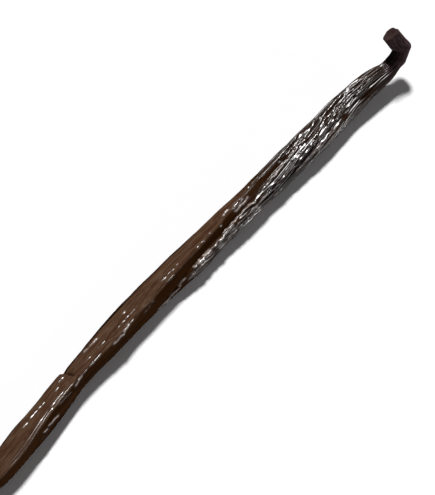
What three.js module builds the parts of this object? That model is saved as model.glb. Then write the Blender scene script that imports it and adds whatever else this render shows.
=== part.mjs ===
// A cured vanilla pod, in one piece, lying on the side that it has flattened against the table.
// Millimetres, +Z up, +X towards the stem end. The origin is on the table, under the middle of the pod.
// The pod is turned straight in a lathe, given its lobes and wrinkles, and then bent to the way it lies.
import * as THREE from 'three';
import { mergeVertices } from 'three/addons/utils/BufferGeometryUtils.js';

// ---- Driving dimensions ----
const POD_LENGTH = 178; // along the axis, from the blossom tip to the cut face of the stem foot
const BELLY_WIDTH = 8.5; // what the widths below are shares of
const NECK_WIDTH = 3.7; // where the stem end is thinnest, just before the hook
const FOOT_WIDTH = 4.7; // across the cut face of the foot
const PRESSED_FLAT = 0.88; // height of the cross-section over its width
const PRESSED_UNTIL = { from: 148, to: 168 }; // the neck turns round between these places
const SUNK = 0.6; // how much of the belly's round underside is pressed flat on the table
const WRINKLE_DEPTH = 0.3; // from the ridge of a skin wrinkle down to the groove beside it

// Width of the pod along the axis: [mm from the blossom tip, mm across].
const WIDTHS = [
  [0, 1.6],
  [2.5, 3.4],
  [12, 0.72 * BELLY_WIDTH],
  [24, 0.83 * BELLY_WIDTH],
  [34, 0.76 * BELLY_WIDTH],
  [45, 0.68 * BELLY_WIDTH],
  [54, 0.76 * BELLY_WIDTH],
  [62, 0.83 * BELLY_WIDTH],
  [74, 0.88 * BELLY_WIDTH],
  [86, 0.91 * BELLY_WIDTH],
  [101, 0.87 * BELLY_WIDTH],
  [136, 0.92 * BELLY_WIDTH],
  [150, 0.84 * BELLY_WIDTH],
  [160, 0.7 * BELLY_WIDTH],
  [169.5, NECK_WIDTH],
  [173, 4.6],
  [POD_LENGTH, FOOT_WIDTH],
];
// What closes the outline: [mm from the axis, mm along it] at the rounded tip, and [share of the foot's
// radius, mm past the end] on the dished face of the foot.
const TIP_CAP = [
  [0, -0.4],
  [0.55, -0.3],
];
const FOOT_DISH = [
  [0.82, 0.35],
  [0.5, 0.1],
  [0, -0.25],
];

// The axis runs straight between these arcs. Each starts `from` mm from the tip, has a radius in mm, and
// turns by so many degrees towards a side, in degrees round the section: 0 is the far side, 90 is up,
// 180 is the near side and 270 is down.
const ARCS = [
  { from: 2, radius: 105, turn: 10.4, toward: 0 },
  { from: 40, radius: 100, turn: 4.2, toward: 180 },
  { from: 64, radius: 300, turn: 3.5, toward: 180 },
  { from: 143, radius: 110, turn: 6, toward: 90 },
  { from: 151.5, radius: 60, turn: 12, toward: 180 },
  { from: 164, radius: 12.6, turn: 29, toward: 55 },
  { from: 171.2, radius: 2.3, turn: 77, toward: 58 },
];
const HEADING = -5.8; // direction of the tip in the plan, in degrees from +X
// The last arc is the hook. The neck swells below where it sets off, its outer side stands out in a heel,
// and its inner side is drawn in.
const HOOK_SIDES = [
  { at: 170.2, reach: 1.1, lift: 0.55, facing: 235, wide: 60 },
  { at: 173.3, reach: 0.65, lift: 0.6, facing: 187, wide: 36 },
  { at: 172.2, reach: 1.6, lift: -0.3, facing: 55, wide: 50 },
];

// The pod is trigonal: three rounded lobes with flatter faces between them. The lobe that shows on top
// is the crest, and it winds slowly round the pod. Angles are in degrees round the section.
const LOBES = 3;
const CREST_ANGLE = [
  [0, 134],
  [18, 126],
  [30, 114.5],
  [40, 115],
  [50, 121],
  [62, 122],
  [76, 117],
  [90, 107],
  [104, 94],
  [120, 81],
  [150, 66],
  [POD_LENGTH, 60],
];
// How strongly the three lobes stand out, as a share of the radius. At 0.1 the faces are flat.
const LOBE_SHARE = [
  [0, 0.04],
  [20, 0.09],
  [60, 0.12],
  [100, 0.1],
  [130, 0.05],
  [165, 0.02],
  [POD_LENGTH, 0.05],
];
// The lobes are sharper by a second wave, half as long and with this share of their height, which fades out
// towards the stem end.
const LOBE_SHARPNESS = { share: 0.3, from: 108, to: 130 };

// Folds that run along the pod beside the crest. `off` is degrees from the crest at each end of the
// fold, `wide` its half-width in degrees, and `lift` its height in mm, or its depth when negative.
const FOLDS = [
  { from: 8, to: 136, off: [0, 0], wide: 8, lift: 0.3 },
  { from: 84, to: 150, off: [46, 44], wide: 12, lift: 0.34 },
  { from: 78, to: 144, off: [36, 80], wide: 15, lift: 0.4 },
  { from: 90, to: 120, off: [90, 118], wide: 28, lift: -0.6 },
  { from: 18, to: 84, off: [52, 40], wide: 9, lift: 0.3 },
  { from: 96, to: 168, off: [74, 60], wide: 8, lift: -0.42 },
  { from: 118, to: 176, off: [14, 4], wide: 10, lift: -0.34 },
  { from: 124, to: 178, off: [-22, -30], wide: 9, lift: 0.3 },
  { from: 20, to: 120, off: [118, 128], wide: 10, lift: 0.2 },
  { from: 58, to: 84, off: [-92, -86], wide: 14, lift: -0.5 },
  { from: 90, to: 110, off: [-78, -68], wide: 22, lift: 0.3 },
  { from: 106, to: 160, off: [-78, -70], wide: 12, lift: -0.4 },
  { from: 10, to: 96, off: [-58, -50], wide: 9, lift: -0.2 },
  { from: 90, to: 174, off: [150, 160], wide: 12, lift: 0.32 },
  { from: 12, to: 44, off: [-98, -90], wide: 22, lift: 0.45 },
  { from: 12, to: 40, off: [86, 90], wide: 24, lift: -0.42 },
  { from: 74, to: 96, off: [-92, -84], wide: 24, lift: -0.5 },
  { from: 74, to: 98, off: [92, 100], wide: 24, lift: 0.3 },
];
const FOLD_ENDS = 8; // mm over which a fold rises at each end
// The flute beside the crest falls slowly to its floor, which lies so many degrees from the crest, nearer to
// it towards the stem end, and rises steeply beyond it, over `rise` degrees.
const FLUTE = { from: 70, to: 134, depth: 0.45, floor: [34, 26], nearing: { from: 108, to: 122 }, rise: 7 };
// The old crease where the pod was once bent: its far edge steps out on the blossom side of it, and a
// pinched groove runs round the pod beside the step, shallower away from that edge.
const CREASE_STEP = { at: 42.8, lift: 0.55, over: 9, facing: 35, wide: 45 };
const CREASE_GROOVE = { at: 43.6, reach: 1.1, depth: 0.3, shallowest: 0.4 };

// Skin wrinkles are long waves. Each wave goes so many rounds round the pod, and has its own slant.
const WAVE_ROUNDS = [4, 5, 6, 7, 8, 9];
const WAVE_LENGTHS = [64, 38, 47, 29, 34, 23]; // mm along the pod for one turn of slant
const WAVE_SWAY = { by: 1.2, over: 11 }; // the slant wanders by so many radians, over so many mm
const GOLDEN_TURN = 2.39996; // radians, spreads the waves' starts evenly
// Where the skin is smoother, and by what share of its wrinkles.
const BROAD_FACE = { offCrest: -50, wide: 42, from: 0, to: 108, ends: 16, smoother: 0.8 };
const UNDERSIDE = { facing: 270, wide: 45, smoother: 0.7 };
const HOOK_SKIN = { from: 166, to: 174, smoother: 0.75 };
const TIP_SKIN = { from: 1, to: 14 }; // the wrinkles begin between these places

// Resolution
const SECTION_STEPS = 60;
const COARSE_STEP = 2.7; // mm along the axis
const FINE_STEP = 0.5; // mm along the axis, at the places that need it
const FINE_PLACES = [
  { at: 0, reach: 6 },
  { at: 43, reach: 3 },
  { at: 172.6, reach: 4 },
  { at: POD_LENGTH, reach: 3 },
];
const WALK_STEP = 0.5; // mm, for adding up the axis
const MERGE_WITHIN = 1e-4; // mm

const rad = THREE.MathUtils.degToRad;
const { smoothstep } = THREE.MathUtils;

// A smooth curve through [place, value] stations, level beyond the first and last.
function along(stations, s) {
  const last = stations.length - 1;
  if (s <= stations[0][0]) return stations[0][1];
  if (s >= stations[last][0]) return stations[last][1];
  const i = stations.findIndex(([place]) => place > s) - 1;
  const slope = (k) => {
    const [a, b] = [stations[Math.max(k - 1, 0)], stations[Math.min(k + 1, last)]];
    return (b[1] - a[1]) / (b[0] - a[0]);
  };
  const [[s0, v0], [s1, v1]] = [stations[i], stations[i + 1]];
  const span = s1 - s0;
  const u = (s - s0) / span;
  return (
    v0 * (1 + 2 * u) * (1 - u) ** 2 +
    slope(i) * span * u * (1 - u) ** 2 +
    v1 * u * u * (3 - 2 * u) +
    slope(i + 1) * span * u * u * (u - 1)
  );
}

const bell = (x) => Math.exp(-x * x);

// Degrees from angle b to angle a, between -180 and 180.
const turnBetween = (a, b) => THREE.MathUtils.euclideanModulo(a - b + 180, 360) - 180;

// 1 within a stretch of the pod, and 0 beyond it, with soft ends so many mm long.
const stretch = (s, from, to, ends) =>
  smoothstep(s, from, from + ends) * (1 - smoothstep(s, to - ends, to));

// ---- The straight pod ----

// Places along the axis, closer together in the tip, at the crease and in the hook.
function axisPlaces() {
  const places = [];
  let s = 0;
  while (s < POD_LENGTH - FINE_STEP / 2) {
    places.push(s);
    const fineness = Math.max(...FINE_PLACES.map(({ at, reach }) => bell((s - at) / reach)));
    s += THREE.MathUtils.lerp(COARSE_STEP, FINE_STEP, fineness);
  }
  return [...places, POD_LENGTH];
}

// The outline that the lathe follows: the rounded tip, the sides, and the dished face of the foot.
function latheOutline() {
  const tip = TIP_CAP.map(([out, s]) => new THREE.Vector2(out, s));
  const sides = axisPlaces().map((s) => new THREE.Vector2(along(WIDTHS, s) / 2, s));
  const foot = FOOT_DISH.map(([share, past]) => {
    return new THREE.Vector2((share * FOOT_WIDTH) / 2, POD_LENGTH + past);
  });
  return [...tip, ...sides, ...foot];
}

// ---- Relief, in mm out from the round pod, at a place s along it and an angle round it ----

function lobes(s, angle) {
  const fromCrest = rad(angle - along(CREST_ANGLE, s));
  const { share, from, to } = LOBE_SHARPNESS;
  const sharper = share * (1 - smoothstep(s, from, to)) * Math.cos(2 * LOBES * fromCrest);
  return (along(WIDTHS, s) / 2) * along(LOBE_SHARE, s) * (Math.cos(LOBES * fromCrest) + sharper);
}

function folds(s, angle) {
  let height = 0;
  for (const { from, to, off, wide, lift } of FOLDS) {
    const place = THREE.MathUtils.clamp((s - from) / (to - from), 0, 1);
    const centre = along(CREST_ANGLE, s) + THREE.MathUtils.lerp(off[0], off[1], place);
    height += lift * stretch(s, from, to, FOLD_ENDS) * bell(turnBetween(angle, centre) / wide);
  }
  return height;
}

function flute(s, angle) {
  const { from, to, depth, floor, nearing, rise } = FLUTE;
  const fromCrest = turnBetween(angle, along(CREST_ANGLE, s));
  const floorAt = THREE.MathUtils.lerp(floor[0], floor[1], smoothstep(s, nearing.from, nearing.to));
  const fall = THREE.MathUtils.clamp(fromCrest / floorAt, 0, 1);
  const climb = THREE.MathUtils.clamp((fromCrest - floorAt) / rise, 0, 1);
  return -depth * stretch(s, from, to, FOLD_ENDS) * (fall - climb);
}

function crease(s, angle) {
  const { at, lift, over, facing, wide } = CREASE_STEP;
  const side = bell(turnBetween(angle, facing) / wide);
  const stepOut = s < at ? lift * side * (1 - smoothstep(at - s, 0, over)) : 0;
  const groove = CREASE_GROOVE.depth * bell((s - CREASE_GROOVE.at) / CREASE_GROOVE.reach);
  return stepOut - groove * THREE.MathUtils.lerp(CREASE_GROOVE.shallowest, 1, side);
}

function wrinkles(s, angle) {
  let sum = 0;
  WAVE_ROUNDS.forEach((rounds, k) => {
    const slant = (2 * Math.PI * s) / WAVE_LENGTHS[k] + WAVE_SWAY.by * Math.sin(s / WAVE_SWAY.over + k);
    sum += Math.cos(rounds * rad(angle) + slant + GOLDEN_TURN * k * k);
  });
  const ridge = Math.min(Math.abs(sum) / Math.sqrt(WAVE_ROUNDS.length), 1);
  return WRINKLE_DEPTH * (ridge - 0.5) * wrinkled(s, angle);
}

// How wrinkled the skin is, from 0 to 1. It is smoother on the broad face beside the crest, in the
// blossom half, on the pressed underside, and on the hook.
function wrinkled(s, angle) {
  const { offCrest, wide, from, to, ends } = BROAD_FACE;
  const fromFace = turnBetween(angle, along(CREST_ANGLE, s) + offCrest);
  const face = bell(fromFace / wide) * stretch(s, from, to, ends);
  const under = bell(turnBetween(angle, UNDERSIDE.facing) / UNDERSIDE.wide);
  const hooked = smoothstep(s, HOOK_SKIN.from, HOOK_SKIN.to);
  const sides = (1 - BROAD_FACE.smoother * face) * (1 - UNDERSIDE.smoother * under);
  return sides * (1 - HOOK_SKIN.smoother * hooked) * smoothstep(s, TIP_SKIN.from, TIP_SKIN.to);
}

function hook(s, angle) {
  let height = 0;
  for (const { at, reach, lift, facing, wide } of HOOK_SIDES) {
    height += lift * bell((s - at) / reach) * bell(turnBetween(angle, facing) / wide);
  }
  return height;
}

// ---- The way the pod lies ----

// The axis' frame at s: its x runs along the pod, y to the far side and z up.
function heading(s) {
  const turned = new THREE.Quaternion().setFromAxisAngle(new THREE.Vector3(0, 0, 1), rad(HEADING));
  for (const { from, radius, turn, toward } of ARCS) {
    const hinge = new THREE.Vector3(0, -Math.sin(rad(toward)), Math.cos(rad(toward)));
    const turnHere = THREE.MathUtils.clamp((s - from) / radius, 0, rad(turn));
    turned.multiply(new THREE.Quaternion().setFromAxisAngle(hinge, turnHere));
  }
  return turned;
}

// Adds up the axis from the tip, in steps of about WALK_STEP, to the given place.
function axisPoint(s) {
  const point = new THREE.Vector3();
  const steps = Math.max(1, Math.ceil(Math.abs(s) / WALK_STEP));
  for (let i = 0; i < steps; i++) {
    point.add(new THREE.Vector3(s / steps, 0, 0).applyQuaternion(heading((s * (i + 0.5)) / steps)));
  }
  return point;
}

// ---- The pod ----

// One closed skin: doubled vertices merged, and the triangles that collapse at the poles dropped.
function closedSkin(geometry) {
  geometry.deleteAttribute('normal');
  geometry.deleteAttribute('uv');
  const merged = mergeVertices(geometry, MERGE_WITHIN);
  const corners = merged.index.array;
  const kept = [];
  for (let i = 0; i < corners.length; i += 3) {
    const [a, b, c] = corners.slice(i, i + 3);
    if (a !== b && b !== c && c !== a) kept.push(a, b, c);
  }
  merged.setIndex(kept);
  return merged;
}

// Moves each point of the straight pod out by the relief there, and then to where the bent axis takes it.
function sculpt(position) {
  const frames = new Map();
  const frameAt = (s) => {
    if (!frames.has(s)) frames.set(s, { point: axisPoint(s), turn: heading(s) });
    return frames.get(s);
  };
  for (let i = 0; i < position.count; i++) {
    const [s, across, up] = [position.getX(i), position.getY(i), position.getZ(i)];
    const around = Math.atan2(up, across);
    const angle = THREE.MathUtils.radToDeg(around);
    const forms = [lobes, folds, flute, crease, wrinkles, hook];
    const relief = forms.reduce((sum, form) => sum + form(s, angle), 0);
    const radius = Math.hypot(across, up) * (1 + relief / (along(WIDTHS, s) / 2));
    const round = smoothstep(s, PRESSED_UNTIL.from, PRESSED_UNTIL.to);
    const height = THREE.MathUtils.lerp(PRESSED_FLAT, 1, round) * radius;
    const { point, turn } = frameAt(s);
    const offset = new THREE.Vector3(0, radius * Math.cos(around), height * Math.sin(around));
    offset.applyQuaternion(turn).add(point);
    position.setXYZ(i, offset.x, offset.y, offset.z);
  }
}

// Sets the pod down on the table, presses its underside flat, and puts the origin under its middle.
function layOnTable(geometry) {
  const bellyBottom = (-PRESSED_FLAT * BELLY_WIDTH) / 2;
  geometry.translate(0, 0, -(bellyBottom + SUNK));
  const position = geometry.getAttribute('position');
  for (let i = 0; i < position.count; i++) position.setZ(i, Math.max(position.getZ(i), 0));
  geometry.computeBoundingBox();
  const middle = geometry.boundingBox.getCenter(new THREE.Vector3());
  geometry.translate(-middle.x, -middle.y, 0);
}

function vanillaPod() {
  const turned = new THREE.LatheGeometry(latheOutline(), SECTION_STEPS);
  const geometry = closedSkin(turned.rotateZ(-Math.PI / 2)); // from standing up to lying along +X
  sculpt(geometry.getAttribute('position'));
  layOnTable(geometry);
  geometry.computeVertexNormals();
  const skin = new THREE.MeshStandardMaterial({ color: 0x38211a, roughness: 0.35, metalness: 0 });
  const pod = new THREE.Mesh(geometry, skin);
  pod.name = 'pod';
  return pod;
}

const part = new THREE.Group();
part.add(vanillaPod());

export default part;
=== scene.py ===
"""A cured vanilla pod lying on a pale table."""
import math

import bmesh
import bpy
import numpy as np
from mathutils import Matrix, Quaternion, Vector, noise


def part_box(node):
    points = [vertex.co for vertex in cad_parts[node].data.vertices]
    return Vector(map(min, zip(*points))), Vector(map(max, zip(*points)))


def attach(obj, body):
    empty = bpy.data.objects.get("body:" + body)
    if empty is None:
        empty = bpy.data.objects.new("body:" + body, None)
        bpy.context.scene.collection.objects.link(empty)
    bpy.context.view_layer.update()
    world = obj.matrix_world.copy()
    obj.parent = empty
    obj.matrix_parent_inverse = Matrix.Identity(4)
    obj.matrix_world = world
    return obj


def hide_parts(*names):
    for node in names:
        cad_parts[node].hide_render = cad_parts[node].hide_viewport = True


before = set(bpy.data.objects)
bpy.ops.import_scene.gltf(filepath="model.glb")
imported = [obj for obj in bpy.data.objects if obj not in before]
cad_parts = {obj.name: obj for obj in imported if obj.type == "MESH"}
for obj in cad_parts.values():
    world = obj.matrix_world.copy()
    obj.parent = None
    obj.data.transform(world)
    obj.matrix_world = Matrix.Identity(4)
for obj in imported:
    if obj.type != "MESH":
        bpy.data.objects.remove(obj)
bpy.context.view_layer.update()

# ---- The pod's round, straight body ----
# A vanilla pod is the orchid's fruit: a long three-sided capsule that was scalded, sweated and dried until
# its fleshy wall turned dark, oily and soft. It is made straight first, as one turned skin with a blunt
# blossom tip at one end and the sawn foot of its stem at the other. Places along it are in millimetres.
MM = 0.001
POD_LENGTH = 178
BELLY_WIDTH = 8.5
NECK_WIDTH = 3.7
ELBOW_WIDTH = 4.6
FOOT_WIDTH = 4.7
WIDTHS = [
    (0, 1.6), (2.5, 3.4), (12, 0.72 * BELLY_WIDTH), (24, 0.83 * BELLY_WIDTH), (34, 0.76 * BELLY_WIDTH),
    (45, 0.68 * BELLY_WIDTH), (54, 0.76 * BELLY_WIDTH), (62, 0.83 * BELLY_WIDTH), (74, 0.88 * BELLY_WIDTH),
    (86, 0.91 * BELLY_WIDTH), (101, 0.87 * BELLY_WIDTH), (136, 0.92 * BELLY_WIDTH),
    (150, 0.84 * BELLY_WIDTH), (160, 0.7 * BELLY_WIDTH), (169.5, NECK_WIDTH), (173, ELBOW_WIDTH),
    (POD_LENGTH, FOOT_WIDTH),
]
# The tip's round end, as radius and place, and the foot's sunken face, as a share of the foot's radius and
# how far past the pod's length it lies.
TIP_CAP = [(0, -0.4), (0.3, -0.37), (0.55, -0.3), (0.72, -0.16)]
FOOT_DISH = [(0.97, 0.14), (0.9, 0.28), (0.82, 0.35), (0.66, 0.26), (0.5, 0.1), (0.3, -0.1), (0, -0.25)]
AROUND_STEPS = 200
CROWDING = 0.4  # the skin's lengthwise lines lie this share closer above, and as much wider apart below
CROWDED_AT = 110
# How far apart the skin's rings lie, and the places where they are finest, each with its reach.
COARSE_STEP = 0.5
WRINKLED_STEP = 0.34
FINE_STEP = 0.14
WRINKLED_FROM = (80, 100)
FINE_PLACES = [(0, 2.2), (43.2, 1.6), (172.6, 2.8), (POD_LENGTH, 1.2)]


def along(stations, s):
    """A smooth curve through (place, value) stations, level beyond the first and last."""
    place, value = np.array(stations, float).T
    slope = np.empty_like(value)
    slope[1:-1] = (value[2:] - value[:-2]) / (place[2:] - place[:-2])
    slope[0] = (value[1] - value[0]) / (place[1] - place[0])
    slope[-1] = (value[-1] - value[-2]) / (place[-1] - place[-2])
    i = np.clip(np.searchsorted(place, s, side="right") - 1, 0, len(place) - 2)
    span = place[i + 1] - place[i]
    u = np.clip((s - place[i]) / span, 0, 1)
    rising = value[i] * (1 + 2 * u) * (1 - u) ** 2 + value[i + 1] * u * u * (3 - 2 * u)
    return rising + span * (slope[i] * u * (1 - u) ** 2 + slope[i + 1] * u * u * (u - 1))


def bell(x):
    """1 at 0, and nearly 0 beyond 2 on either side."""
    return np.exp(-x * x)


def ramp(x, low, high):
    """0 below low, 1 above high, and a soft rise between."""
    t = np.clip((x - low) / (high - low), 0, 1)
    return t * t * (3 - 2 * t)


def ring_places():
    """Where the skin's rings lie: closer where it is wrinkled, closest at the ends, crease and hook."""
    places = [0.0]
    while places[-1] < POD_LENGTH - FINE_STEP:
        s = places[-1]
        step = COARSE_STEP + (WRINKLED_STEP - COARSE_STEP) * ramp(s, *WRINKLED_FROM)
        fineness = max(bell((s - at) / reach) for at, reach in FINE_PLACES)
        places.append(s + step + (FINE_STEP - step) * fineness)
    places[-1] = POD_LENGTH
    return np.array(places)


def turned_skin():
    """Draws the outline point by point, and spins it round the pod's axis."""
    places = ring_places()
    outline = list(TIP_CAP)
    outline += zip(along(WIDTHS, places) / 2, places)
    outline += [(share * FOOT_WIDTH / 2, POD_LENGTH + past) for share, past in FOOT_DISH]
    skin = bmesh.new()
    tip = skin.verts.new((outline[0][1], outline[0][0], 0))
    for radius, s in outline[1:]:
        made = bmesh.ops.extrude_vert_indiv(skin, verts=[tip])
        tip = made["verts"][0]
        tip.co = (s, radius, 0)
    bmesh.ops.spin(skin, geom=skin.verts[:] + skin.edges[:], cent=(0, 0, 0), axis=(1, 0, 0),
                   angle=2 * math.pi, steps=AROUND_STEPS, use_merge=True)
    bmesh.ops.remove_doubles(skin, verts=skin.verts, dist=1e-5)
    bmesh.ops.recalc_face_normals(skin, faces=skin.faces)
    mesh = bpy.data.meshes.new("vanilla_pod")
    skin.to_mesh(mesh)
    skin.free()
    return mesh


pod_mesh = turned_skin()
straight = np.empty(len(pod_mesh.vertices) * 3)
pod_mesh.vertices.foreach_get("co", straight)
s, across, up = straight.reshape(-1, 3).T
turned = np.hypot(across, up)
spun = np.arctan2(up, across)
angle = np.degrees(spun - CROWDING * np.sin(spun - math.radians(CROWDED_AT)))
around = np.radians(angle)
full_radius = along(WIDTHS, s) / 2

# ---- Its lobes, folds and crease ----
# The pod grew with three rounded lobes, and drying drew flutes between them and folds along them. An old
# bend left a crease near the blossom end, and the stem end hooks over. Heights are in millimetres out
# from the round body, and angles run round the section: 0 is the far side, 90 is up, 180 the near side.
LOBES = 3
CREST_ANGLE = [(0, 134), (18, 126), (30, 114.5), (40, 115), (50, 121), (62, 122), (76, 117), (90, 107),
               (104, 94), (120, 81), (150, 66), (POD_LENGTH, 60)]
LOBE_SHARE = [(0, 0.04), (20, 0.09), (60, 0.12), (100, 0.1), (130, 0.05), (165, 0.02), (POD_LENGTH, 0.05)]
SHARPENING = 0.3
SHARP_UNTIL = (108, 130)
# Each fold: from, to, degrees from the crest at each end, half-width in degrees, height.
FOLDS = [
    (8, 136, 0, 0, 8, 0.3), (84, 150, 46, 44, 12, 0.34), (78, 144, 36, 80, 15, 0.4),
    (90, 120, 90, 118, 28, -0.6), (18, 84, 52, 40, 9, 0.3), (96, 168, 74, 60, 8, -0.42),
    (118, 176, 14, 4, 10, -0.34), (124, 178, -22, -30, 9, 0.3), (20, 120, 118, 128, 10, 0.2),
    (58, 84, -92, -86, 14, -0.5), (90, 110, -78, -68, 22, 0.3), (106, 160, -78, -70, 12, -0.4),
    (10, 96, -58, -50, 9, -0.2), (90, 174, 150, 160, 12, 0.32), (12, 44, -98, -90, 22, 0.45),
    (12, 40, 86, 90, 24, -0.42), (74, 96, -92, -84, 24, -0.5), (74, 98, 92, 100, 24, 0.3),
]
FOLD_ENDS = 8
# The flute beside the crest falls slowly to its floor, and rises steeply beyond it. The floor starts wide
# of the crest and comes closer to it in steps. Each step: degrees, from, to.
FLUTE_STRETCH = (70, 134)
FLUTE_DEPTH, FLUTE_RISE = 0.45, 4.5
FLUTE_FLOOR = 34
FLUTE_WIDENING, WIDER_UNTIL = 28, (77, 86.5)
FLUTE_STEPS = [(3, 98, 106), (13, 108, 121)]
# The crease is a dip all round, deepest on the side that it faces, and swollen there just before it.
CREASE_AT = 42.8
CREASE_FACES, CREASE_SPREAD = 35, 45
CREASE_DEPTH, CREASE_REACH, CREASE_PAST = 0.3, 1.1, 0.8
CREASE_ALL_ROUND = 0.4
SWELLING_HEIGHT, SWELLING_LENGTH = 0.55, 9
# Where the hook swells or draws in: place, reach in mm, side that it faces, half-width in degrees, height.
HOOK_SIDES = [(170.2, 1.1, 235, 60, 0.55), (173.3, 0.65, 187, 36, 0.6), (172.2, 1.6, 55, 50, -0.3)]
# The sawn foot's rim is ragged. Each wave in it: height, how many go round, and how far they are turned.
RIM_WAVES = [(0.1, 4, 1), (0.07, 7, 0)]
RAGGED_FROM = 174.5


def turn_between(a, b):
    """Degrees from angle b to angle a, between -180 and 180."""
    return (a - b + 180) % 360 - 180


def stretch(s, start, end, ends):
    """1 within a stretch of the pod, and 0 beyond it, with soft ends."""
    return ramp(s, start, start + ends) * (1 - ramp(s, end - ends, end))


crest = along(CREST_ANGLE, s)
from_crest = turn_between(angle, crest)
lobe_wave = LOBES * np.radians(from_crest)
sharper = SHARPENING * (1 - ramp(s, *SHARP_UNTIL)) * np.cos(2 * lobe_wave)
relief = full_radius * along(LOBE_SHARE, s) * (np.cos(lobe_wave) + sharper)
for start, end, off_start, off_end, wide, lift in FOLDS:
    off = off_start + (off_end - off_start) * np.clip((s - start) / (end - start), 0, 1)
    relief += lift * stretch(s, start, end, FOLD_ENDS) * bell(turn_between(from_crest, off) / wide)

flute_floor = FLUTE_FLOOR + FLUTE_WIDENING * (1 - ramp(s, *WIDER_UNTIL))
for closer, start, end in FLUTE_STEPS:
    flute_floor -= closer * ramp(s, start, end)
past_floor = from_crest - flute_floor
flute_fall = np.clip(from_crest / flute_floor, 0, 1) - np.clip(past_floor / FLUTE_RISE, 0, 1)
relief -= FLUTE_DEPTH * stretch(s, *FLUTE_STRETCH, FOLD_ENDS) * flute_fall

crease_side = bell(turn_between(angle, CREASE_FACES) / CREASE_SPREAD)
swelling = (s < CREASE_AT) * (1 - ramp(CREASE_AT - s, 0, SWELLING_LENGTH))
relief += SWELLING_HEIGHT * crease_side * swelling
crease_dip = bell((s - CREASE_AT - CREASE_PAST) / CREASE_REACH)
relief -= CREASE_DEPTH * crease_dip * (CREASE_ALL_ROUND + (1 - CREASE_ALL_ROUND) * crease_side)
for at, reach, side, wide, lift in HOOK_SIDES:
    relief += lift * bell((s - at) / reach) * bell(turn_between(angle, side) / wide)
ragged = sum(lift * np.sin(rounds * around + shift) for lift, rounds, shift in RIM_WAVES)
relief += ragged * ramp(s, RAGGED_FROM, POD_LENGTH)

# ---- Its edges ----
# The ridges are crisper than the solid's. The crest is an edge, and where it is worn round it carries a
# long glint. Near the blossom end it is worn to two fine edges. The crease holds a sharp notch, which runs
# across the broad face.
EDGE_STRETCH = (8, 126, 10)
EDGE_HEIGHT, EDGE_WIDTH = 0.18, 4.5
WORN = [(47, 52), (61, 63), (75.2, 76), (77.6, 80.6), (81, 81.8), (90, 91), (92, 93), (95, 96), (97.5, 98),
        (104.6, 109.4)]
WORN_ENDS, WORN_WIDTH = 1.2, 6
TWIN_STRETCH = (12, 43, 4)
TWIN_EDGES = (-12, -3)
TWIN_HEIGHT, TWIN_WIDTH = 0.12, 2.6
NOTCH_DEPTH, NOTCH_REACH, NOTCH_PAST = 0.35, 0.45, 0.5
NOTCH_FACES, NOTCH_SPREAD = 55, 42

edged = stretch(s, *EDGE_STRETCH)
worn = sum(stretch(s, start, end, WORN_ENDS) for start, end in WORN)
sharp_edge = np.exp(-np.abs(from_crest) / EDGE_WIDTH)
relief += EDGE_HEIGHT * edged * (sharp_edge + worn * (bell(from_crest / WORN_WIDTH) - sharp_edge))
twin_edge = stretch(s, *TWIN_STRETCH) * sum(bell((from_crest - edge) / TWIN_WIDTH) for edge in TWIN_EDGES)
relief += TWIN_HEIGHT * twin_edge
notch_side = bell(turn_between(angle, NOTCH_FACES) / NOTCH_SPREAD)
notch = bell((s - CREASE_AT - NOTCH_PAST) / NOTCH_REACH) * notch_side
relief -= NOTCH_DEPTH * notch

# ---- Its puckers ----
# Drying puckered the skin along short flecks, lips, stout cords and fine threads. They stand up sharply, so
# they catch the light. The lips and threads also carry a pale painted highlight. Each line: from and its
# angle, to and its angle.
FLECKS = [
    (24.9, 55, 26.2, 55), (27, 60, 27.8, 59), (28.1, 53, 28.8, 53), (29.6, 51, 30.2, 51),
    (31.4, 52, 31.9, 53), (33, 52, 33.4, 54), (37, 66, 37.5, 66), (37.9, 68, 38.4, 68),
    (39.9, 50, 41.2, 51), (40.5, 61, 41.2, 62), (29.5, 73, 29.8, 72), (27, 101, 28.2, 101),
    (29, 97, 29.3, 97), (31, 104, 32.8, 104), (34.6, 121, 39, 130), (47.2, 33, 48, 32),
    (48.2, 89, 49.5, 90), (52.7, 87, 53, 87), (53.8, 91, 55, 93), (60.3, 96, 60.5, 96),
    (61.7, 96, 62.5, 97), (63.6, 97, 64, 98), (65.2, 97, 65.4, 97), (66.2, 98, 66.5, 98),
    (62.6, 119, 62.7, 119), (63.6, 119, 63.7, 119), (68.2, 133, 68.5, 132), (69.7, 132, 70, 131),
    (71.2, 126, 71.5, 126), (77.2, 98, 78.4, 97), (79.7, 97, 80.4, 97), (81.3, 97, 81.5, 97),
    (83.2, 93, 83.4, 93), (90.5, 104, 90.8, 104), (92, 102, 92.7, 102), (99, 107, 99.4, 107),
    (104.4, 92, 105.1, 93), (110.2, 72, 112.9, 73), (112.9, 72, 117, 73),
]
LIPS = [
    (50.6, 39, 51.6, 40), (52.8, 42, 55.1, 48), (64.6, 67, 64.9, 66), (26.9, 145, 27.8, 147),
    (28.9, 145, 29.3, 146), (29.9, 147, 32.4, 151), (102, 81, 104, 78), (72.6, 198, 75.6, 191),
    (75.6, 191, 77.4, 184), (77.7, 181, 79.4, 184), (80.1, 184, 80.6, 178), (80.7, 169, 82.6, 158),
    (84, 179, 85.5, 175), (85.7, 180, 87.8, 169), (87.8, 169, 89.5, 152), (86.5, 147, 86.8, 147),
    (87.8, 145, 88.6, 144), (88.4, 150, 89.8, 148), (90.5, 143, 91.5, 141), (91.7, 144, 92.7, 144),
    (90.9, 154, 92.7, 155), (41.3, 126, 41.8, 126), (42.6, 126, 44, 120), (56.1, 128, 59.6, 129),
    (59.6, 129, 60.2, 124), (60.2, 124, 62.1, 118), (105.1, 104, 108.1, 103), (108.1, 103, 110.2, 99),
    (109, 124, 110.6, 128), (94.4, 143, 94.8, 143), (96.3, 142, 97.5, 141),
]
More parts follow.
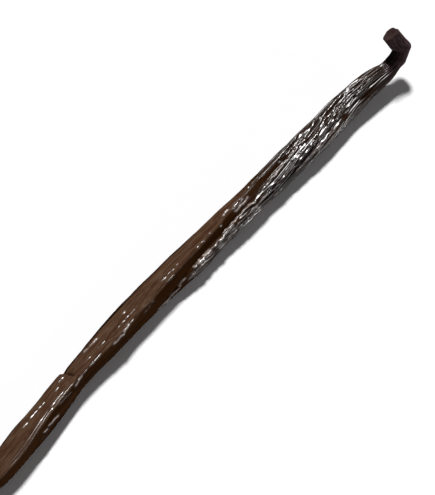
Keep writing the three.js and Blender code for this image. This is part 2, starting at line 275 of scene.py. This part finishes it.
CORDS = [
    (44.2, 117, 46, 115), (106, 86, 107.8, 85), (107.8, 85, 109, 89), (124.1, 85, 129.2, 81),
    (125.5, 73, 129.2, 70), (129.2, 70, 132.6, 64), (126.5, 96, 129.2, 86), (129.2, 86, 134, 92),
    (129.9, 93, 133.6, 93), (132.9, 64, 135, 61), (136, 70, 141.4, 61), (139.1, 60, 140.4, 58),
    (141.8, 73, 144.2, 64), (144.2, 64, 148.6, 60), (148.6, 60, 153, 67), (141.4, 89, 143.1, 81),
    (143.1, 94, 146.2, 87), (146.2, 87, 147.9, 73), (147.2, 94, 152.3, 85), (126.5, 116, 129.5, 113),
    (129.5, 112, 133.6, 103), (127.5, 137, 130.9, 132), (130.9, 132, 133.3, 124), (133.3, 124, 135.7, 115),
    (135.7, 115, 137.4, 110), (138.4, 132, 140.4, 122), (140.4, 122, 146.5, 116), (141.1, 110, 145.2, 106),
    (145.2, 106, 147.6, 108), (147.6, 108, 149.3, 104), (97, 186, 105.4, 181), (112.3, 147, 115.3, 139),
    (117.3, 154, 119.7, 148), (119.7, 148, 121.7, 139), (134, 136, 137.4, 131), (149.3, 120, 151, 119),
    (153.3, 110, 156.4, 101),
]
THREADS = [
    (88.7, 184, 93.6, 188), (95.8, 155, 97.6, 141), (98.9, 134, 103, 129), (103, 129, 108.5, 124),
    (100.3, 150, 103.4, 147), (103.4, 144, 105.4, 145), (99.3, 182, 106.8, 172), (107.1, 144, 110.5, 141),
    (111.9, 140, 113.6, 139), (113.9, 140, 114.9, 136), (108.5, 194, 112.5, 198), (114.9, 194, 118, 179),
    (111.9, 123, 116.6, 115), (116.6, 115, 118.7, 109), (118.7, 109, 120.4, 111), (120.4, 111, 123.1, 99),
    (123.1, 99, 126.1, 104), (117.6, 130, 119, 128), (124.4, 135, 125.8, 137), (126.1, 148, 127.8, 147),
    (125.8, 160, 132.9, 150), (132.9, 150, 137, 143), (137, 143, 143.8, 135), (129.5, 184, 134.6, 163),
    (134.3, 154, 140.1, 148), (140.1, 148, 143.8, 139),
]
# Each kind: its lines, half-width on the far and on the near side, height, how oily it is, and how much
# pale painted highlight it carries.
PUCKERS = [
    (FLECKS, 0.17, 0.17, 0.12, 0.8, 0), (LIPS, 0.15, 0.28, 0.34, 1, 0.85), (CORDS, 0.27, 0.27, 0.22, 1, 0),
    (THREADS, 0.1, 0.14, 0.16, 1, 0.6),
]
SOFT_END = 0.3
SWAY, SWAY_RATE = 1.6, 2.3  # in degrees, and in radians a mm
UNEVENNESS, QUICK_RATE, SLOW_RATE = 0.2, 5.1, 1.9
# The worn crest and the two fine edges glint too, the crest a little to its far side.
TWIN_GLINT = 0.7
WORN_GLINT_AT, WORN_GLINT_WIDTH = -3, 5


def pucker(start, at_start, end, at_end, far_wide, near_wide):
    """1 along a slightly swaying line on the skin, falling to 0 within a few half-widths of it."""
    share = np.clip((s - start) / (end - start), 0, 1)
    sway = SWAY * np.sin(SWAY_RATE * s + at_start)
    aside = np.radians(turn_between(angle, at_start + (at_end - at_start) * share + sway)) * full_radius
    beyond = np.maximum(start - s, 0) + np.maximum(s - end, 0)
    uneven = 1 - UNEVENNESS + UNEVENNESS * np.sin(QUICK_RATE * s + at_end) * np.sin(SLOW_RATE * s + start)
    return uneven * bell(np.hypot(aside / np.where(aside < 0, far_wide, near_wide), beyond / SOFT_END))


glinting = TWIN_GLINT * twin_edge + worn * bell((from_crest - WORN_GLINT_AT) / WORN_GLINT_WIDTH)
# Painted highlights: pale paint along the lips and threads stands in for their glints.
painted_highlights = np.zeros_like(s)
for lines, far_wide, near_wide, lift, oiliness, painted_highlight_share in PUCKERS:
    for line in lines:
        raised = pucker(*line, far_wide, near_wide)
        relief += lift * raised
        glinting += oiliness * raised
        painted_highlights += painted_highlight_share * raised

# ---- Its wrinkles ----
# Drying shrank the flesh inside a skin that kept its size, so the skin stands in long meandering ridges
# with sharp grooves between them. They crowd on the stem third and on the ledge beyond the flute, and
# leave the broad far face and the flute almost smooth.
MEAN_RADIUS = 3.8
# Each surface: the degrees from the crest, or past the flute's floor, over which it begins and ends, and
# the stretch of the pod that it takes up.
BROAD_FACE, BROAD_FACE_UNTIL = (2, 12, 96, 112), (100, 122)
NEAR_FACE, NEAR_FACE_UNTIL = (2, 8, 90, 110), (74, 88)
FLUTE_BEGINS, FLUTE_ENDS, SMOOTH_STRETCH = (-2, 4), (-6, 2), (70, 128, 5)
LEDGE_BEGINS, LEDGE_ENDS, LEDGE_STRETCH = (2, 8), (110, 130), (82, 150, 5)
STEM_THIRD_FROM = (104, 124)
HOOK_FROM = (166, 174)
UNDERSIDE_AT, UNDERSIDE_SPREAD = 270, 45
# The long wrinkles. Each wave: how many go round the pod, and its length.
WAVES = [(4, 64), (5, 38), (6, 47), (7, 29), (8, 34), (9, 23)]
WAVE_SWAY, WAVE_SWAY_LENGTH = 1.2, 11
GOLDEN_TURN = 2.39996
WRINKLE_DEPTH = 0.3
WRINKLES_FROM = (1, 14)
# The fine wrinkles: everywhere a little, and most on the ledge. They wander less on the stem third.
FINE_DEPTH = 0.42
FINE_FROM = (0.5, 10)
FINE_ANYWHERE, FINE_ON_LEDGE = 0.4, 1.3
CORD_PART, FINE_PART, FINER_PART, KNOT_PART = 0.5, 0.42, 0.08, 0.02
WANDER, STEADIER, STEADIER_FROM = 18, 8, (100, 120)
CORD_ROUNDS = 13
CORD_DRIFT = 2.5
CORD_TWIST = 2  # degrees a mm by which the cords wind round the stem third
TWIST_FROM, TWIST_LENGTH = 120, 32


def band(x, begin, full, fade, end):
    """1 from full to fade, and 0 before begin and beyond end."""
    return ramp(x, begin, full) * (1 - ramp(x, fade, end))


def spared(*losses):
    """What is left where each place loses its share; each loss is (share, place)."""
    left = 1
    for share, place in losses:
        left = left * (1 - share * place)
    return left


def slow_noise(turned_by, long, quickness, shift):
    """A noise that changes slowly along the skin, every `long` mm, and round it at turned_by radians."""
    return np.array([
        noise.noise((x / long, math.cos(a) * quickness, math.sin(a) * quickness + shift))
        for x, a in zip(s, turned_by)
    ])


smooth_face = band(-from_crest, *BROAD_FACE) * (1 - ramp(s, *BROAD_FACE_UNTIL))
smooth_flute = ramp(from_crest, *FLUTE_BEGINS) * (1 - ramp(past_floor, *FLUTE_ENDS))
smooth_flute *= stretch(s, *SMOOTH_STRETCH)
smooth_near = band(from_crest, *NEAR_FACE) * (1 - ramp(s, *NEAR_FACE_UNTIL))
underside = bell(turn_between(angle, UNDERSIDE_AT) / UNDERSIDE_SPREAD)
hooked = ramp(s, *HOOK_FROM)
smooth = np.clip(smooth_face + smooth_flute + smooth_near, 0, 1)
wrinkled = spared((0.85, smooth), (0.7, underside), (0.75, hooked)) * ramp(s, *WRINKLES_FROM)
waves = sum(
    np.cos(rounds * around + 2 * math.pi * s / length + WAVE_SWAY * np.sin(s / WAVE_SWAY_LENGTH + k)
           + GOLDEN_TURN * k * k)
    for k, (rounds, length) in enumerate(WAVES)
)
relief += WRINKLE_DEPTH * (np.minimum(np.abs(waves) / math.sqrt(len(WAVES)), 1) - 0.5) * wrinkled

stem_third = ramp(s, *STEM_THIRD_FROM) * (1 - hooked)
ledge = ramp(past_floor, *LEDGE_BEGINS) * (1 - ramp(from_crest, *LEDGE_ENDS)) * stretch(s, *LEDGE_STRETCH)
fine_share = np.maximum(FINE_ANYWHERE, np.maximum(stem_third, FINE_ON_LEDGE * ledge))
fine_share *= spared((0.8, smooth_face), (0.93, smooth_flute), (0.8, smooth_near))
fine_share *= spared((0.7, underside), (0.85, hooked)) * ramp(s, *FINE_FROM)

meander = slow_noise(around, long=12, quickness=1.3, shift=7)
wandering = np.radians(angle + (WANDER - STEADIER * ramp(s, *STEADIER_FROM)) * meander)
twist = np.radians(CORD_TWIST) * np.clip(s - TWIST_FROM, 0, TWIST_LENGTH)
wound = wandering + twist


def ridged(long, wide, seed):
    """0 in the grooves and up to about 1 on the ridges of a pattern that is `long` by `wide` mm."""
    reach = MEAN_RADIUS / wide
    places = zip(s / long, reach * np.cos(wound), reach * np.sin(wound) + seed)
    return np.array([abs(noise.noise(place)) for place in places]) * 2


drift = slow_noise(wandering, long=22, quickness=1.6, shift=-5)
cords = np.abs(np.cos(CORD_ROUNDS * wound + CORD_DRIFT * drift))
fine = ridged(long=34, wide=1.1, seed=31)
finer = ridged(long=9, wide=0.7, seed=57)
knots = ridged(long=2.6, wide=1, seed=83)
mixed = CORD_PART * cords + FINE_PART * fine + FINER_PART * finer + KNOT_PART * knots
relief += FINE_DEPTH * fine_share * (mixed - 0.5)

# ---- The way it lies ----
# The pod rests on the table, pressed a little flat below, with two old bends. Its neck lifts and its stem
# turns back in a hook. Each arc: where it starts, its radius, how many degrees it turns, and towards
# which side. The pod lies where its solid lies.
ARCS = [(2, 105, 10.4, 0), (40, 100, 4.2, 180), (64, 300, 3.5, 180), (143, 110, 6, 90),
        (151.5, 60, 12, 180), (164, 12.6, 29, 55), (171.2, 2.3, 77, 58)]
HEADING = -5.8
PRESSED_FLAT = 0.88
ROUND_AGAIN_FROM = (148, 168)
SUNK = 0.6


def turned_to(place):
    """How the pod's axis is turned at a place along it."""
    turn = Quaternion((0, 0, 1), math.radians(HEADING))
    for start, radius, degrees, toward in ARCS:
        side = math.radians(toward)
        hinge = Vector((0, -math.sin(side), math.cos(side)))
        turn = turn @ Quaternion(hinge, min(max((place - start) / radius, 0), math.radians(degrees)))
    return turn


ring_s, ring_of = np.unique(s.round(5), return_inverse=True)
ring_point = [Vector((0, 0, 0))]
for before, after in zip(ring_s[:-1], ring_s[1:]):
    step = turned_to((before + after) / 2) @ Vector((after - before, 0, 0))
    ring_point.append(ring_point[-1] + step)
ring_turn = np.array([turned_to(place).to_matrix() for place in ring_s])

radius = turned * (1 + relief / full_radius)
height = radius * (PRESSED_FLAT + (1 - PRESSED_FLAT) * ramp(s, *ROUND_AGAIN_FROM))
section = np.stack([np.zeros_like(s), radius * np.cos(around), height * np.sin(around)], 1)
lying = np.einsum("nij,nj->ni", ring_turn[ring_of], section) + np.array(ring_point)[ring_of]
lying[:, 2] = np.maximum(lying[:, 2] + PRESSED_FLAT * BELLY_WIDTH / 2 - SUNK, 0)
lying *= MM
box_low, box_high = (np.array(corner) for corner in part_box("pod"))
middle = (lying.min(0) + lying.max(0)) / 2
lying[:, :2] += ((box_low + box_high) / 2 - middle)[:2]
pod_mesh.vertices.foreach_set("co", lying.ravel())
for face in pod_mesh.polygons:
    face.use_smooth = True

# ---- Its marks ----
# The skin's colours and gloss follow these: its place on the straight pod, painted shade in its grooves and
# crease notch, a darker stem third and far edge, the streaked broad face, a painted fill on the shaded near
# flank, pale painted highlights on the lips and threads, the dry stem and its corky foot. Oil lies on the
# ridges of the stem third and of the ledge, and on what is worn or puckered.
FACET, FACET_UNTIL = (-7, -2, 94, 108), (100, 122)
# The broad face darkens to a band along its far edge.
FAR_EDGE, FAR_EDGE_UNTIL = (94, 110, 116, 136), (120, 150)
# The near flank lies in shade; its own brown is painted fill light, set for how it looks in shade.
FLANK_BEGINS, FLANK_FADES = (44, 70), (140, 160)
STEM_FROM = (162, 173)
FOOT_EDGE = (POD_LENGTH + 0.02, POD_LENGTH + 0.12)
DISH_DEPTH = 0.3
# Painted shade: how sharply the darkening keeps to the grooves, and how much darker the whole stem third
# is.
GROOVE_SHARPNESS, STEM_THIRD_DARKENING = 1.6, 0.4
DRY_SHEEN = 0.01
OIL_IN_GROOVES, RIDGE_FROM = 0.1, (0.28, 0.58)
OIL_ENDS = (146, 162)
# Duller places: the far side of the crest as far as the stem third, a short stretch of the ledge, and two
# rows, one on the flank and one beyond the flute's floor.
PAST_CREST, PAST_CREST_UNTIL = (2, 12), (119, 132)
DULL_LEDGE_STRETCH = (90, 97, 2)
ROW_WIDTH = 9
FLANK_ROW_AT, FLANK_ROW_STRETCH = 70, (132, 152, 5)
FLUTE_ROW_AT, FLUTE_ROW_STRETCH = 14, (100, 128, 4)

facet = band(-from_crest, *FACET) * (1 - ramp(s, *FACET_UNTIL))
far_edge = band(-from_crest, *FAR_EDGE) * (1 - ramp(s, *FAR_EDGE_UNTIL))
shaded_flank_fill = ramp(from_crest, *FLANK_BEGINS) * spared((0.6, ramp(s, *FLANK_FADES)))

ridges = OIL_IN_GROOVES + (1 - OIL_IN_GROOVES) * ramp((cords + fine) / 2, *RIDGE_FROM)
oily = DRY_SHEEN + ridges * np.maximum(stem_third * spared((0.7, ramp(s, *OIL_ENDS))), ledge)
past_crest = ramp(-from_crest, *PAST_CREST) * (1 - ramp(s, *PAST_CREST_UNTIL))
dull_ledge = stretch(s, *DULL_LEDGE_STRETCH) * ledge
flank_row = bell((from_crest - FLANK_ROW_AT) / ROW_WIDTH) * stretch(s, *FLANK_ROW_STRETCH)
flute_row = bell((past_floor - FLUTE_ROW_AT) / ROW_WIDTH) * stretch(s, *FLUTE_ROW_STRETCH)
oily *= spared((0.9, past_crest), (0.97, smooth_flute), (0.6, hooked), (0.7, dull_ledge))
oily *= spared((0.9, flank_row), (0.85, flute_row))

in_dish = (s > POD_LENGTH - DISH_DEPTH) * (turned < FOOT_DISH[0][0] * FOOT_WIDTH / 2)
foot = ramp(s, *FOOT_EDGE) + in_dish
# Painted shade: the base colour goes near black in the wrinkle grooves and the crease notch. The whole stem
# third is darker too, and so is a band along the far edge of the broad face.
depth = np.clip(1 - GROOVE_SHARPNESS * (0.35 * cords + 0.45 * fine + 0.2 * finer), 0, 1)
painted_shade_and_darkening = depth * fine_share + STEM_THIRD_DARKENING * stem_third
marks = {"painted_shade_and_darkening": painted_shade_and_darkening + notch + far_edge, "facet": facet, "shaded_flank_fill": shaded_flank_fill, "painted_highlight": painted_highlights, "foot": foot,
         "oily": oily + glinting, "stem": ramp(s, *STEM_FROM)}
for name, values in marks.items():
    values = np.clip(values, 0, 1).astype(np.float32)
    pod_mesh.attributes.new(name, "FLOAT", "POINT").data.foreach_set("value", values)
own_place = np.stack([s, MEAN_RADIUS * np.cos(around), MEAN_RADIUS * np.sin(around)], 1).astype(np.float32)
pod_mesh.attributes.new("pod_place", "FLOAT_VECTOR", "POINT").data.foreach_set("vector", own_place.ravel())

# ---- The cured skin ----
# Chocolate-brown to nearly black, supple and oily, so that it glints wherever a wrinkle faces the light.
# Faint fibres run along it. The stem is dry and greyer, and its sawn foot is dull cork.
OILY_BROWN = (0.028, 0.0105, 0.0028)
WARM_BROWN = (0.04, 0.0155, 0.005)
# Painted fill light: the brown of the shaded near flank.
FLANK_FILL_BROWN = (0.03, 0.0115, 0.004)
RED_STREAK = (0.042, 0.0175, 0.0095)
PALE_STREAK = (0.088, 0.05, 0.028)
DUSTY_STREAK = (0.13, 0.084, 0.058)
# The pale colour of the painted highlights on the lips and threads.
PALE_PAINTED_HIGHLIGHT = (0.46, 0.39, 0.36)
# Near black: painted shade in the grooves and notch, also used for the darker stem third and far edge.
SHADE_AND_DARKENING_BLACK = (0.004, 0.0015, 0.0008)
STEM_BLACK = (0.066, 0.042, 0.046)
STEM_HOLLOW = (0.03, 0.017, 0.018)
CORK = (0.046, 0.027, 0.025)
skin = bpy.data.materials.new("cured_skin")
skin.use_nodes = True
tree = skin.node_tree
gloss = tree.nodes["Principled BSDF"]


def add(kind, **settings):
    """Adds a node to the skin. Sockets are set by name, with _ for a space, and settings by attribute."""
    node = tree.nodes.new(kind)
    for key, value in settings.items():
        if hasattr(node, key):
            setattr(node, key, value)
        else:
            node.inputs[key.replace("_", " ")].default_value = value
    return node


def mark(name, output="Fac"):
    return add("ShaderNodeAttribute", attribute_name=name).outputs[output]


def grain(long, wide, detail):
    """A noise that is `long` mm along the pod and `wide` mm across it."""
    stretched = add("ShaderNodeMapping", Scale=(1 / long, 1 / wide, 1 / wide))
    tree.links.new(mark("pod_place", "Vector"), stretched.inputs["Vector"])
    made = add("ShaderNodeTexNoise", Scale=1.0, Detail=detail, Roughness=0.6)
    tree.links.new(stretched.outputs[0], made.inputs["Vector"])
    return made.outputs["Fac"]


def rise(value, low, high, most):
    """0 where value is at low, and most where it is at high."""
    made = add("ShaderNodeMapRange", From_Min=low, From_Max=high, To_Min=0, To_Max=most)
    tree.links.new(value, made.inputs["Value"])
    return made.outputs[0]


def blend_colours(share, first, second):
    """first where share is 0 and second where it is 1; each is a colour or a socket."""
    mix = add("ShaderNodeMix", data_type="RGBA")
    tree.links.new(share, mix.inputs[0])
    # Sockets 6 and 7 take the two colours, and output 2 gives their blend.
    for socket, colour in ((mix.inputs[6], first), (mix.inputs[7], second)):
        if isinstance(colour, tuple):
            socket.default_value = (*colour, 1)
        else:
            tree.links.new(colour, socket)
    return mix.outputs[2]


skin_colour = blend_colours(rise(grain(14, 2.2, 3), 0.4, 0.65, 1), OILY_BROWN, WARM_BROWN)
# Painted fill light on the shaded near flank.
skin_colour = blend_colours(mark("shaded_flank_fill"), skin_colour, FLANK_FILL_BROWN)
streaks = blend_colours(rise(grain(9, 0.6, 4), 0.38, 0.64, 1), RED_STREAK, PALE_STREAK)
streaks = blend_colours(rise(grain(2.4, 0.45, 3), 0.5, 0.7, 0.55), streaks, DUSTY_STREAK)
streaks = blend_colours(rise(grain(5, 1.4, 2), 0.5, 0.68, 0.6), streaks, RED_STREAK)
skin_colour = blend_colours(rise(mark("facet"), 0.1, 0.8, 0.9), skin_colour, streaks)
# Painted shade in the grooves and notch, with the darker stem third and far edge.
skin_colour = blend_colours(rise(mark("painted_shade_and_darkening"), 0.1, 0.9, 0.8), skin_colour, SHADE_AND_DARKENING_BLACK)
# Painted highlights on the lips and threads.
skin_colour = blend_colours(mark("painted_highlight"), skin_colour, PALE_PAINTED_HIGHLIGHT)
dry_stem = blend_colours(rise(grain(1.5, 0.9, 3), 0.4, 0.62, 1), STEM_HOLLOW, STEM_BLACK)
skin_colour = blend_colours(mark("stem"), skin_colour, dry_stem)
dry_foot = blend_colours(rise(grain(6, 0.5, 3), 0.42, 0.6, 0.7), CORK, STEM_HOLLOW)
skin_colour = blend_colours(mark("foot"), skin_colour, dry_foot)
tree.links.new(skin_colour, gloss.inputs["Base Color"])
tree.links.new(mark("oily"), gloss.inputs["Coat Weight"])
gloss.inputs["Roughness"].default_value = 0.4
gloss.inputs["Specular IOR Level"].default_value = 0
gloss.inputs["Coat IOR"].default_value = 1.6
gloss.inputs["Coat Roughness"].default_value = 0.22
fibres = add("ShaderNodeBump", Strength=0.3, Distance=0.06 * MM)
tree.links.new(grain(5, 0.32, 2), fibres.inputs["Height"])
tree.links.new(fibres.outputs[0], gloss.inputs["Normal"])

pod_mesh.materials.append(skin)
vanilla_pod = bpy.data.objects.new("vanilla_pod", pod_mesh)
bpy.context.scene.collection.objects.link(vanilla_pod)
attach(vanilla_pod, "root")
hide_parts("pod")

# ---- The table ----
# A matt white board, much larger than the pod, so that its edges stay out of sight.
TABLE_HALF = 2.0
BOARD_WHITE = (0.86, 0.86, 0.87, 1)
board = bmesh.new()
bmesh.ops.create_grid(board, x_segments=1, y_segments=1, size=TABLE_HALF)
table_mesh = bpy.data.meshes.new("table")
board.to_mesh(table_mesh)
board.free()
white = bpy.data.materials.new("white_board")
white.use_nodes = True
matt = white.node_tree.nodes["Principled BSDF"]
matt.inputs["Base Color"].default_value = BOARD_WHITE
matt.inputs["Roughness"].default_value = 0.9
matt.inputs["Specular IOR Level"].default_value = 0.1
table_mesh.materials.append(white)
table = bpy.data.objects.new("table", table_mesh)
bpy.context.scene.collection.objects.link(table)

# ---- The studio ----
# A soft lamp stands high behind the pod and towards its stem end, in a dim room. A weaker one stands low on
# the near side, and draws thin lines along the wrinkles of the flank.
ROOM_TINT, ROOM_LIGHT = (1, 0.94, 0.95, 1), 0.04
# Each lamp: its name, where it stands, how many degrees wide it looks, and its strength.
LAMPS = [("key_lamp", (0.458, 0.39, 0.799), 9, 4.4), ("low_lamp", (0.458, -0.835, 0.304), 6, 0.75)]
for name, direction, spread, strength in LAMPS:
    light = bpy.data.lights.new(name, "SUN")
    light.angle = math.radians(spread)
    light.energy = strength
    lamp = bpy.data.objects.new(name, light)
    lamp.rotation_mode = "QUATERNION"
    lamp.rotation_quaternion = Vector(direction).to_track_quat("Z", "Y")
    bpy.context.scene.collection.objects.link(lamp)

room = bpy.data.worlds.new("room")
room.use_nodes = True
room.node_tree.nodes["Background"].inputs["Color"].default_value = ROOM_TINT
room.node_tree.nodes["Background"].inputs["Strength"].default_value = ROOM_LIGHT
bpy.context.scene.world = room
bpy.context.scene.view_settings.view_transform = "Standard"

# ---- The camera ----
# It looks down on the pod from the near side and the blossom end, so the pod runs up to the right.
AZIMUTH, ELEVATION = math.radians(-53), math.radians(55)
AIM = Vector((10.3, -0.62, 0)) * MM
CAMERA_DISTANCE = 0.7
MM_PER_PIXEL = 0.25
PICTURE_HEIGHT = 495
SENSOR = 36
lens = bpy.data.cameras.new("camera")
lens.sensor_width = SENSOR
lens.lens = SENSOR * CAMERA_DISTANCE / (MM_PER_PIXEL * MM * PICTURE_HEIGHT)
camera = bpy.data.objects.new("camera", lens)
back = Vector((math.sin(AZIMUTH) * math.cos(ELEVATION), -math.cos(AZIMUTH) * math.cos(ELEVATION),
               math.sin(ELEVATION)))
camera.location = AIM + back * CAMERA_DISTANCE
camera.rotation_mode = "QUATERNION"
camera.rotation_quaternion = back.to_track_quat("Z", "Y")
bpy.context.scene.collection.objects.link(camera)
bpy.context.scene.camera = camera
